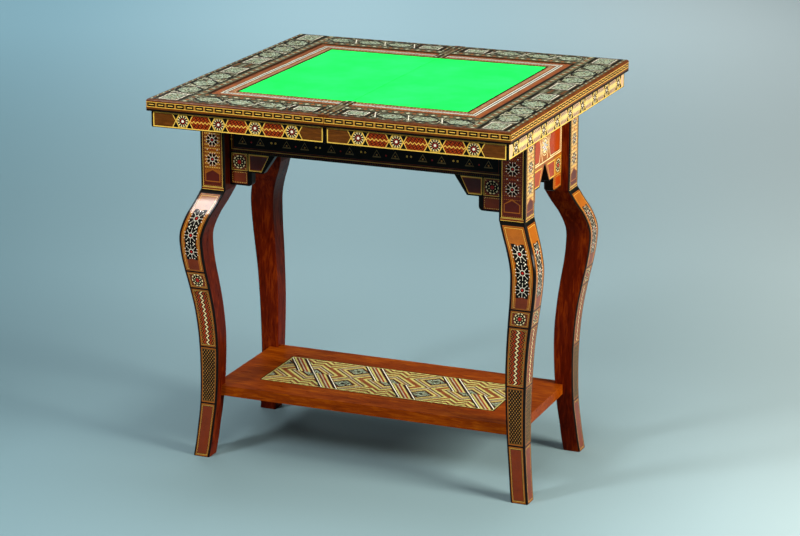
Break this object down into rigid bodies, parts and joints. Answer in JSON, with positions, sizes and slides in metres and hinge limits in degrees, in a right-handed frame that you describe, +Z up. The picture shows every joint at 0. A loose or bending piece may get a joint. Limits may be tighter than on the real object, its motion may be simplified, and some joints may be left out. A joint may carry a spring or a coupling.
{
  "type": "games table",
  "caption": "Marquetry games table on cabriole legs: a felt-lined top of folding leaves turns on a pivot over a storage well, with a shelf below.",
  "frame": {"origin": "on the floor, under the middle of the whole open table", "axes": "+X right along the front edge, +Y to the back, +Z up"},
  "size_m": [0.7947, 0.736, 0.8227],
  "materials": {
    "marquetry": "polished geometric inlay of orange, wine, black and bone",
    "dark_mahogany": "glossy dark red-brown polish",
    "mosaic": "polished micro-mosaic inlay of shell, bone and dark wood",
    "red_inlay": "satin red-orange inlay strips with a pale centre strip",
    "plain_wood": "plain oiled wood, out of sight",
    "green_baize": "matt woollen baize",
    "brass": "satin",
    "steel": "satin"
  },
  "bodies": {
    "base": {"leg_front_left": "marquetry", "leg_front_right": "marquetry", "leg_back_left": "marquetry", "leg_back_right": "marquetry", "apron_front": "marquetry", "apron_back": "marquetry", "apron_left": "marquetry", "apron_right": "marquetry", "bracket_long_front_left": "marquetry", "bracket_long_front_right": "marquetry", "bracket_long_back_left": "marquetry", "bracket_long_back_right": "marquetry", "bracket_short_front_left": "marquetry", "bracket_short_front_right": "marquetry", "bracket_short_back_left": "marquetry", "bracket_short_back_right": "marquetry", "shelf": "dark_mahogany", "shelf_panel": "mosaic", "well_bottom": "plain_wood", "pivot_bearer": "plain_wood"},
    "right_leaf": {"right_case_front": "marquetry", "right_case_back": "marquetry", "right_case_side": "marquetry", "right_seam_wall": "dark_mahogany", "right_tray_floor": "plain_wood", "right_rim_front": "mosaic", "right_rim_back": "mosaic", "right_rim_side": "mosaic", "right_hinge_block_front": "mosaic", "right_hinge_block_back": "mosaic", "right_hinge_front": "brass", "right_hinge_back": "brass", "pivot_bolt": "steel", "pivot_washer": "steel", "pivot_nut": "steel"},
    "left_leaf": {"left_case_front": "marquetry", "left_case_back": "marquetry", "left_case_side": "marquetry", "left_seam_wall": "dark_mahogany", "left_tray_floor": "plain_wood", "left_rim_front": "mosaic", "left_rim_back": "mosaic", "left_rim_side": "mosaic", "left_hinge_block_front": "mosaic", "left_hinge_block_back": "mosaic", "left_hinge_front": "brass", "left_hinge_back": "brass"},
    "right_lift_out": {"right_board": "red_inlay", "right_baize": "green_baize"},
    "left_lift_out": {"left_board": "red_inlay", "left_baize": "green_baize"}
  },
  "joints": [
    {"name": "top_swivel", "type": "hinge", "parent": "base", "child": "right_leaf", "pos_m": [0.1005, -0.10355, 0.7615], "axis": [0, 0, 1], "range_deg": [0, 90]},
    {"name": "leaf_fold", "type": "hinge", "parent": "right_leaf", "child": "left_leaf", "pos_m": [0.01105, 0, 0.82025], "axis": [0, 1, 0], "range_deg": [0, 180]},
    {"name": "right_board_lift", "type": "slide", "parent": "right_leaf", "child": "right_lift_out", "axis": [0, 0, -1], "range_m": [-0.3, 0]},
    {"name": "left_board_lift", "type": "slide", "parent": "left_leaf", "child": "left_lift_out", "axis": [0, 0, -1], "range_m": [-0.3, 0]}
  ]
}
